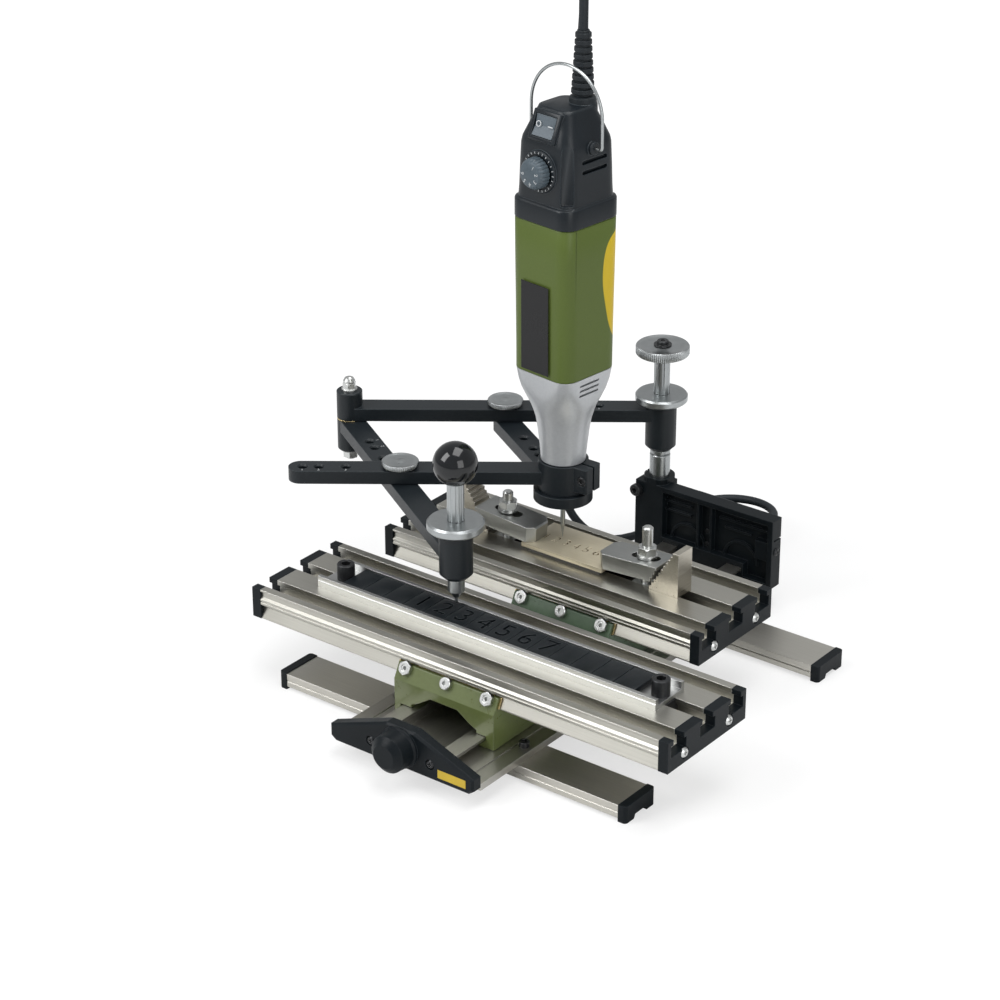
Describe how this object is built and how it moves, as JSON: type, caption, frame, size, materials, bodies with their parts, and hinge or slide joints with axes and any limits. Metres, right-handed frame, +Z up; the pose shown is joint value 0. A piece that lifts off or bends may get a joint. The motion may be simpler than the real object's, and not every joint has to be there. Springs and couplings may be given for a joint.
{
  "type": "pantograph engraving machine",
  "caption": "Bench engraver: a hand-guided pantograph on a column carries a motor tool over two dovetail-slide tables, one for template tiles and one for the clamped work.",
  "frame": {"origin": "on the bench, under the middle of the machine's footprint, measured without the free cord", "axes": "+X along the work tables to the right, +Y along the guide rail from the front end plate to the column, +Z up"},
  "size_m": [0.3278, 0.3866, 0.4145],
  "materials": {
    "rail_aluminium": "satin anodised",
    "foot_aluminium": "satin anodised",
    "table_aluminium": "satin extruded",
    "arm_aluminium": "black anodised",
    "black_plastic": "moulded",
    "olive_paint": "gloss enamel",
    "teal_paint": "gloss enamel",
    "brass": "brushed",
    "tile_plastic": "moulded",
    "zinc_steel": "zinc plated",
    "black_steel": "black oxide",
    "bright_steel": "polished",
    "clamp_steel": "ground",
    "packing_grey": "sheet",
    "tool_grey": "satin",
    "tool_green": "semi gloss",
    "tool_black": "fine grain",
    "switch_grey": "moulded",
    "motor_steel": "laminated",
    "black_rubber": "matt",
    "cord_rubber": "matt"
  },
  "bodies": {
    "base": {"guide_rail": "rail_aluminium", "foot_bars": "foot_aluminium", "foot_caps": "black_plastic", "front_end_plate": "black_plastic", "rear_end_plate": "black_plastic", "frame_screws": "black_steel"},
    "front_saddle": {"front_saddle": "olive_paint", "front_saddle_gibs": "brass", "front_saddle_screws": "zinc_steel"},
    "front_table": {"front_table": "table_aluminium", "front_table_caps": "black_plastic", "front_table_cap_screws": "zinc_steel", "template_rail": "rail_aluminium", "template_tiles": "tile_plastic", "template_bolts": "black_steel"},
    "rear_saddle": {"rear_saddle": "teal_paint", "rear_saddle_gibs": "brass", "rear_saddle_screws": "zinc_steel"},
    "rear_table": {"rear_table": "table_aluminium", "rear_table_caps": "black_plastic", "rear_table_cap_screws": "zinc_steel", "packing_plate": "packing_grey", "work_plate": "brass", "clamp_bars": "clamp_steel", "step_blocks": "clamp_steel", "clamp_bolts": "zinc_steel"},
    "column": {"column": "bright_steel"},
    "fulcrum_spindle": {"fulcrum_spindle": "bright_steel", "fulcrum_wheel": "bright_steel", "fulcrum_wheel_screw": "black_steel"},
    "fulcrum_discs": {"fulcrum_discs": "bright_steel"},
    "main_arm": {"main_arm": "arm_aluminium", "pivot_bolt": "zinc_steel", "pivot_spacer": "brass"},
    "main_thumbscrew": {"main_thumbscrew": "bright_steel"},
    "tracer_arm": {"tracer_arm": "arm_aluminium"},
    "tracer": {"tracer_spindle": "bright_steel", "tracer_ball": "black_plastic", "tracer_disc": "bright_steel", "stylus_pin": "bright_steel"},
    "tool_arm": {"tool_arm": "arm_aluminium"},
    "link_arm": {"link_arm": "arm_aluminium", "tool_clamp_screw": "black_steel", "pivot_ring": "zinc_steel", "tool_nose": "tool_grey", "tool_body": "tool_green", "tool_rear_cap": "tool_black", "motor": "motor_steel", "tool_bearings": "bright_steel", "strain_relief": "black_rubber", "cord": "cord_rubber", "cord_coil": "cord_rubber", "plug": "cord_rubber"},
    "link_thumbscrew": {"link_thumbscrew": "bright_steel"},
    "tool_spindle": {"tool_spindle": "bright_steel", "collet_nut": "bright_steel", "engraving_bit": "bright_steel"},
    "tool_switch": {"tool_switch": "switch_grey"},
    "speed_dial": {"speed_dial": "tool_black"},
    "tool_bail": {"tool_bail": "bright_steel"}
  },
  "joints": [
    {"name": "front_saddle_slide", "type": "slide", "parent": "base", "child": "front_saddle", "axis": [0, 1, 0], "range_m": [-0.027, 0.009]},
    {"name": "front_table_slide", "type": "slide", "parent": "front_saddle", "child": "front_table", "axis": [1, 0, 0], "range_m": [-0.045, 0.045]},
    {"name": "rear_saddle_slide", "type": "slide", "parent": "base", "child": "rear_saddle", "axis": [0, 1, 0], "range_m": [-0.007, 0.039]},
    {"name": "rear_table_slide", "type": "slide", "parent": "rear_saddle", "child": "rear_table", "axis": [1, 0, 0], "range_m": [-0.02, 0.005]},
    {"name": "column_slide", "type": "slide", "parent": "base", "child": "column", "axis": [0, 0, 1], "range_m": [0, 0.025]},
    {"name": "fulcrum_wheel_turn", "type": "hinge", "parent": "column", "child": "fulcrum_spindle", "pos_m": [-0.01231, 0.14145, 0.1], "axis": [0, 0, 1], "range_deg": [0, 1440.5]},
    {"name": "fulcrum_lift", "type": "slide", "parent": "column", "child": "fulcrum_discs", "axis": [0, 0, 1], "range_m": [0, 0.004]},
    {"name": "main_arm_turn", "type": "hinge", "parent": "fulcrum_discs", "child": "main_arm", "pos_m": [-0.01231, 0.14145, 0.098], "axis": [0, 0, 1], "range_deg": [-4, 14]},
    {"name": "main_thumbscrew_turn", "type": "hinge", "parent": "main_arm", "child": "main_thumbscrew", "pos_m": [-0.08435, 0.0875, 0.104], "axis": [0, 0, 1], "continuous": true},
    {"name": "tracer_arm_turn", "type": "hinge", "parent": "main_arm", "child": "tracer_arm", "pos_m": [-0.15639, 0.03355, 0.09], "axis": [0, 0, 1], "range_deg": [-6, 9]},
    {"name": "tracer_slide", "type": "slide", "parent": "tracer_arm", "child": "tracer", "axis": [0, 0, 1], "range_m": [0, 0.01]},
    {"name": "tool_arm_turn", "type": "hinge", "parent": "main_arm", "child": "tool_arm", "pos_m": [-0.08435, 0.0875, 0.09], "axis": [0, 0, 1], "range_deg": [-6.2, 9.2]},
    {"name": "link_arm_turn", "type": "hinge", "parent": "tracer_arm", "child": "link_arm", "pos_m": [-0.07986, -0.01381, 0.098], "axis": [0, 0, 1], "range_deg": [-9.2, 6.2]},
    {"name": "link_thumbscrew_turn", "type": "hinge", "parent": "link_arm", "child": "link_thumbscrew", "pos_m": [-0.07986, -0.01381, 0.104], "axis": [0, 0, 1], "continuous": true},
    {"name": "tool_spindle_turn", "type": "hinge", "parent": "link_arm", "child": "tool_spindle", "pos_m": [-0.00782, 0.04014, 0.12], "axis": [0, 0, 1], "continuous": true},
    {"name": "switch_rock", "type": "hinge", "parent": "link_arm", "child": "tool_switch", "pos_m": [-0.00959, 0.0257, 0.303], "axis": [0.9925, -0.1219, 0], "range_deg": [-7, 0]},
    {"name": "dial_turn", "type": "hinge", "parent": "link_arm", "child": "speed_dial", "pos_m": [-0.01017, 0.02099, 0.2795], "axis": [-0.1219, -0.9925, 0], "range_deg": [-130, 130]},
    {"name": "bail_swing", "type": "hinge", "parent": "link_arm", "child": "tool_bail", "pos_m": [-0.00782, 0.04014, 0.292], "axis": [0.9925, -0.1219, 0], "range_deg": [0, 75]}
  ],
  "couplings": [
    {"joint": "fulcrum_wheel_turn", "follows": "fulcrum_lift", "rad_per_m": 6283.2},
    {"joint": "tool_arm_turn", "follows": "tracer_arm_turn", "ratio": 1},
    {"joint": "link_arm_turn", "follows": "tracer_arm_turn", "ratio": -1}
  ]
}
